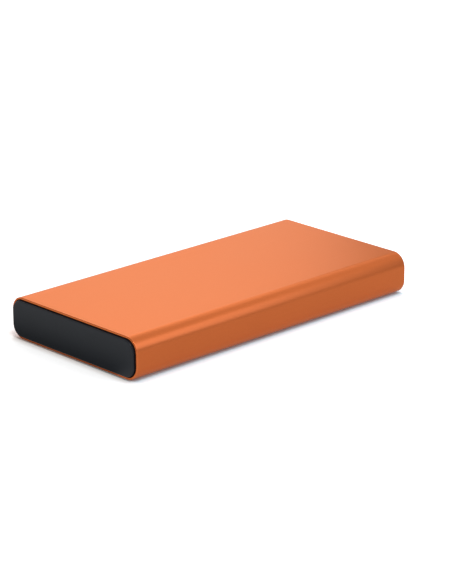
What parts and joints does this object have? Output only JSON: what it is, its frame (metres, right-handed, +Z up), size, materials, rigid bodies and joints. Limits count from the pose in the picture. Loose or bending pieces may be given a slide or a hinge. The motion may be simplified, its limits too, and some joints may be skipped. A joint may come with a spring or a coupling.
{
  "type": "power bank",
  "caption": "Slim rounded power bank in an orange anodised aluminium sleeve with flat black end caps.",
  "frame": {"origin": "under the middle of the sleeve, on the surface that the power bank lies on", "axes": "+X along the length towards the end with the ports, +Y across the width, +Z up through the thickness"},
  "size_m": [0.139, 0.068, 0.016],
  "materials": {
    "anodised_sleeve": "satin",
    "cap_plastic": "matte",
    "adhesive_foam": "matte",
    "tray_plastic": "matte",
    "screw_steel": "satin",
    "cell_pouch": "satin",
    "white_tape": "matte",
    "nickel_tab": "satin",
    "amber_tape": "gloss",
    "foam": "matte",
    "red_insulation": "satin",
    "black_insulation": "satin",
    "solder": "gloss",
    "board_laminate": "gloss",
    "clear_film": "gloss",
    "plated_steel": "gloss",
    "white_moulding": "satin",
    "black_moulding": "satin",
    "gold_contact": "gloss",
    "button_plastic": "satin",
    "led_lens": "gloss",
    "clear_guide": "gloss",
    "ferrite": "matte",
    "copper_wire": "gloss",
    "can_aluminium": "satin",
    "chip_epoxy": "matte",
    "tin_pins": "satin",
    "tan_ceramic": "satin",
    "resistor_black": "satin"
  },
  "bodies": {
    "housing": {"blank_cap_gasket": "adhesive_foam", "blank_end_cap": "cap_plastic", "board_screws": "screw_steel", "cell_bond_tape": "white_tape", "ceramic_capacitors": "tan_ceramic", "chip_resistors": "resistor_black", "circuit_board": "board_laminate", "clamp_plate": "tray_plastic", "clamp_screws": "screw_steel", "controller_chips": "chip_epoxy", "controller_pins": "tin_pins", "indicator_leds": "led_lens", "inductor_core": "ferrite", "inductor_winding": "copper_wire", "inner_tray": "tray_plastic", "insulation_film": "clear_film", "lead_solder_joints": "solder", "light_guide": "clear_guide", "lower_cell": "cell_pouch", "lower_cell_tabs": "nickel_tab", "lower_foam_pad": "foam", "micro_usb_contacts": "gold_contact", "micro_usb_insulator": "black_moulding", "micro_usb_shell": "plated_steel", "negative_lead": "black_insulation", "output_capacitors": "can_aluminium", "ports_cap_gasket": "adhesive_foam", "ports_end_cap": "cap_plastic", "positive_lead": "red_insulation", "protection_chips": "chip_epoxy", "sleeve": "anodised_sleeve", "switch_cover": "plated_steel", "switch_dome": "plated_steel", "switch_housing": "black_moulding", "tab_tape": "amber_tape", "upper_cell": "cell_pouch", "upper_cell_tabs": "nickel_tab", "upper_foam_pad": "foam", "usb_a_contacts": "gold_contact", "usb_a_insulator": "white_moulding", "usb_a_shell": "plated_steel"},
    "power_button": {"power_button": "button_plastic"},
    "switch_plunger": {"switch_plunger": "white_moulding"}
  },
  "joints": [
    {"name": "button_press", "type": "slide", "parent": "housing", "child": "power_button", "axis": [-1, 0, 0], "range_m": [0, 0.0003], "stiffness_N_per_m": 6000},
    {"name": "plunger_press", "type": "slide", "parent": "housing", "child": "switch_plunger", "axis": [-1, 0, 0], "range_m": [0, 0.0003], "deforming": ["switch_dome"]}
  ],
  "couplings": [
    {"joint": "plunger_press", "follows": "button_press", "ratio": 1}
  ]
}
